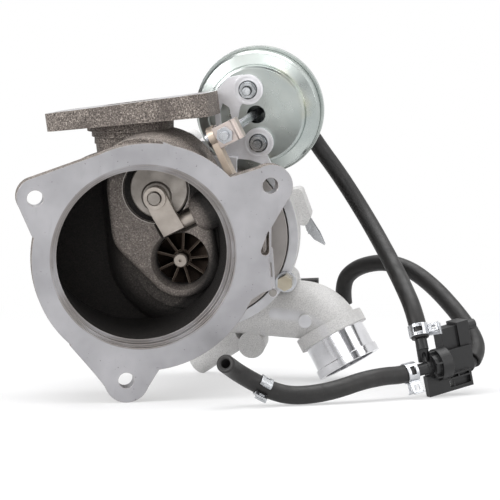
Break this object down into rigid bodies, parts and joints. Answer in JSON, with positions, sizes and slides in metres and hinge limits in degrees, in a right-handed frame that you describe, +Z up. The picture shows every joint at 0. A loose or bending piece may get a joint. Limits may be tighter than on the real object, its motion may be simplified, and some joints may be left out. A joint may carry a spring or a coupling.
{
  "type": "turbocharger",
  "caption": "Turbocharger with an exhaust-driven wheel, a boost-opened wastegate on a can actuator, and a boost valve on rubber hoses.",
  "frame": {"origin": "centre of the compressor inlet's mouth", "axes": "+Z is up as the part stands on a flat surface; the shaft runs in the YZ plane, from the turbine at -Y to the compressor inlet, rising 8.8 degrees towards +Y; +X is right when the turbine outlet faces the viewer; the surface it stands on is z = -0.116"},
  "size_m": [0.3086, 0.2429, 0.2397],
  "materials": {
    "cast_iron": "rough cast",
    "hot_steel": "heat-tinted",
    "zinc": "zinc-plated",
    "bright": "bright",
    "nickel": "dark nickel alloy",
    "aluminium": "cast",
    "billet": "machined",
    "bronze": "satin",
    "black_rubber": "matte",
    "red_rubber": "matte",
    "black_plastic": "matte",
    "copper": "wound wire"
  },
  "bodies": {
    "housing": {"turbine_housing": "cast_iron", "heat_shield": "hot_steel", "clamp_plates": "hot_steel", "clamp_plate_bolts": "hot_steel", "bearing_housing": "cast_iron", "bearing_snap_rings": "bright", "thrust_bearing": "bronze", "oil_deflector": "bright", "seal_plate": "aluminium", "seal_plate_screws": "bright", "seal_plate_o_ring": "red_rubber", "piston_rings": "bright", "compressor_housing": "aluminium", "compressor_bolts": "zinc", "compressor_washers": "zinc", "port_nipple": "bright", "port_cap": "black_rubber", "spring_clip": "zinc", "tag_strip": "bright", "tag_pin": "hot_steel", "wastegate_bushing": "hot_steel", "actuator_front_cup": "zinc", "actuator_rear_cup": "zinc", "diaphragm": "black_rubber", "actuator_spring": "bright", "actuator_bracket": "zinc", "actuator_studs": "bright", "actuator_nuts": "bright", "actuator_nipple": "zinc", "compressor_nipple": "bright", "actuator_hose": "black_rubber", "compressor_hose": "black_rubber", "valve_hose": "black_rubber", "hose_clamps": "zinc", "valve_body": "black_plastic", "valve_coil": "copper", "valve_connector": "black_plastic"},
    "rotor": {"turbine_wheel_shaft": "nickel", "compressor_wheel": "billet", "shaft_nut": "bright", "thrust_collar": "bright", "seal_sleeve": "bright"},
    "bearings": {"floating_bearings": "bronze"},
    "wastegate": {"wastegate_shaft_arm": "hot_steel", "wastegate_flap": "hot_steel", "flap_washer": "hot_steel", "wastegate_lever": "hot_steel", "lever_pin": "hot_steel", "pin_clip": "bright"},
    "rod": {"actuator_rod": "bright", "clevis": "bright", "rod_nut": "bright", "actuator_piston": "bright"},
    "plunger": {"valve_plunger": "bright"}
  },
  "joints": [
    {"name": "rotor_spin", "type": "hinge", "parent": "housing", "child": "rotor", "pos_m": [0, -0.08696, -0.01348], "axis": [0, 0.9882, 0.1532], "continuous": true},
    {"name": "bearing_float", "type": "hinge", "parent": "housing", "child": "bearings", "pos_m": [0, -0.0919, -0.01424], "axis": [0, 0.9882, 0.1532], "continuous": true},
    {"name": "wastegate_turn", "type": "hinge", "parent": "housing", "child": "wastegate", "pos_m": [0.04171, -0.16314, 0.02096], "axis": [0.9007, -0.0665, 0.4293], "range_deg": [0, 20], "stiffness_Nm_per_rad": 3},
    {"name": "rod_slide", "type": "slide", "parent": "housing", "child": "rod", "axis": [-0.0011, -0.9788, -0.2047], "range_m": [0, 0.0144], "deforming": ["actuator_spring", "diaphragm"]},
    {"name": "plunger_slide", "type": "slide", "parent": "housing", "child": "plunger", "axis": [0.8295, 0.5183, 0.2079], "range_m": [0, 0.0012]}
  ],
  "couplings": [
    {"joint": "rod_slide", "follows": "wastegate_turn", "m_per_rad": 0.041}
  ]
}
